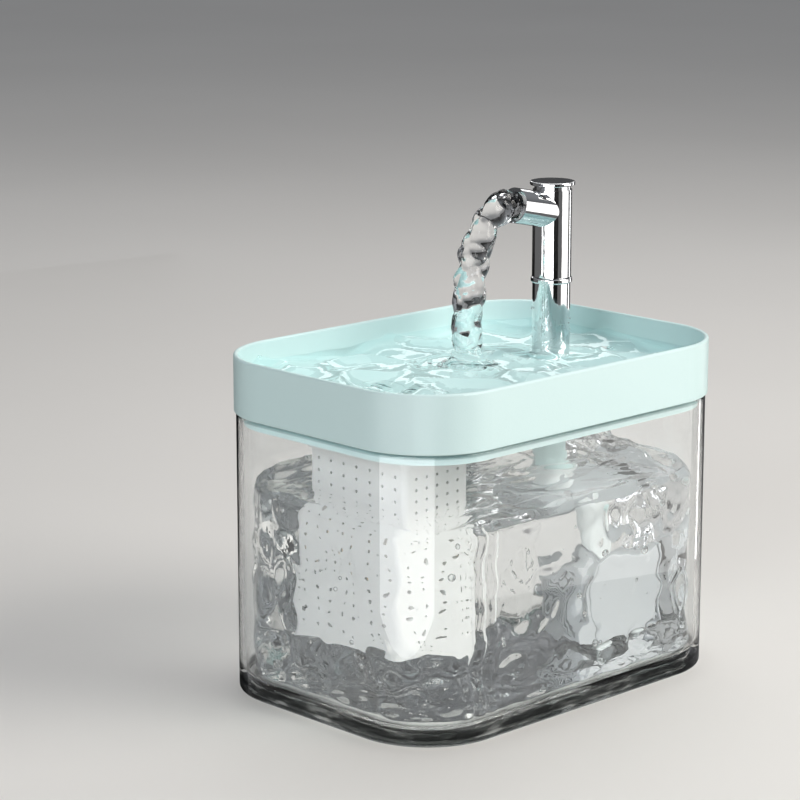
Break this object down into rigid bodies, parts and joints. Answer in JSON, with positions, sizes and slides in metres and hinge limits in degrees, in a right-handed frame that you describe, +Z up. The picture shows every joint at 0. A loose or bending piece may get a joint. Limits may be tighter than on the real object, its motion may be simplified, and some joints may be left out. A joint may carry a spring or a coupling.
{
  "type": "pet water fountain",
  "caption": "Clear rounded water tank under a mint drinking tray, with a swivel spout, a filter box on rails and a submerged pump.",
  "frame": {"origin": "centre of the footprint on the ground", "axes": "+X along the tank's long side towards the faucet, +Y across the tank, +Z up"},
  "size_m": [0.1918, 0.1364, 0.2101],
  "materials": {
    "clear_plastic": "clear, polished",
    "mint_plastic": "satin moulded",
    "chrome": "polished plating",
    "white_plastic": "fine moulded",
    "grey_plastic": "fine moulded",
    "silicone": "satin silicone",
    "black_rubber": "matt",
    "filter_felt": "felted cotton",
    "filter_foam": "open foam",
    "carbon_granules": "granular",
    "resin_beads": "granular",
    "copper_wire": "enamelled wire",
    "steel_sheet": "laminated",
    "magnet_ferrite": "sintered"
  },
  "bodies": {
    "tank": {"water_tank": "clear_plastic", "pump_body": "grey_plastic", "suction_cups": "silicone", "motor_cover": "grey_plastic", "cable_gland": "black_rubber", "motor_coil": "copper_wire", "motor_core": "steel_sheet", "pump_shaft": "steel_sheet", "rear_bush": "black_rubber", "front_bush": "black_rubber", "chamber_plate": "grey_plastic", "chamber_seal": "silicone", "outlet_hose": "silicone"},
    "tray": {"drinking_tray": "mint_plastic", "faucet_post": "chrome", "post_gasket": "silicone", "swivel_ring": "chrome", "swivel_seal": "black_rubber"},
    "strainer": {"drain_strainer": "mint_plastic"},
    "spout": {"spout_column": "chrome", "mouth_ring": "chrome", "spout_cap": "chrome"},
    "filter": {"filter_box": "white_plastic", "lower_filter_pad": "filter_felt", "carbon_bed": "carbon_granules", "resin_bed": "resin_beads", "upper_filter_pad": "filter_felt"},
    "impeller": {"impeller_wheel": "white_plastic", "rotor_magnet": "magnet_ferrite"},
    "intake": {"intake_cover": "grey_plastic", "intake_sponge": "filter_foam"}
  },
  "joints": [
    {"name": "tray_lift", "type": "slide", "parent": "tank", "child": "tray", "axis": [0, 0, 1], "range_m": [0, 0.1]},
    {"name": "spout_swivel", "type": "hinge", "parent": "tray", "child": "spout", "pos_m": [0.0475, 0, 0.17], "axis": [0, 0, 1], "range_deg": [-90, 90]},
    {"name": "filter_box_slide", "type": "slide", "parent": "tray", "child": "filter", "axis": [1, 0, 0], "range_m": [0, 0.042]},
    {"name": "strainer_lift", "type": "slide", "parent": "tray", "child": "strainer", "axis": [0, 0, 1], "range_m": [0, 0.02]},
    {"name": "impeller_spin", "type": "hinge", "parent": "tank", "child": "impeller", "pos_m": [0.0475, 0, 0.03], "axis": [1, 0, 0], "continuous": true},
    {"name": "intake_cover_pull", "type": "slide", "parent": "tank", "child": "intake", "axis": [-1, 0, 0], "range_m": [0, 0.014]}
  ]
}
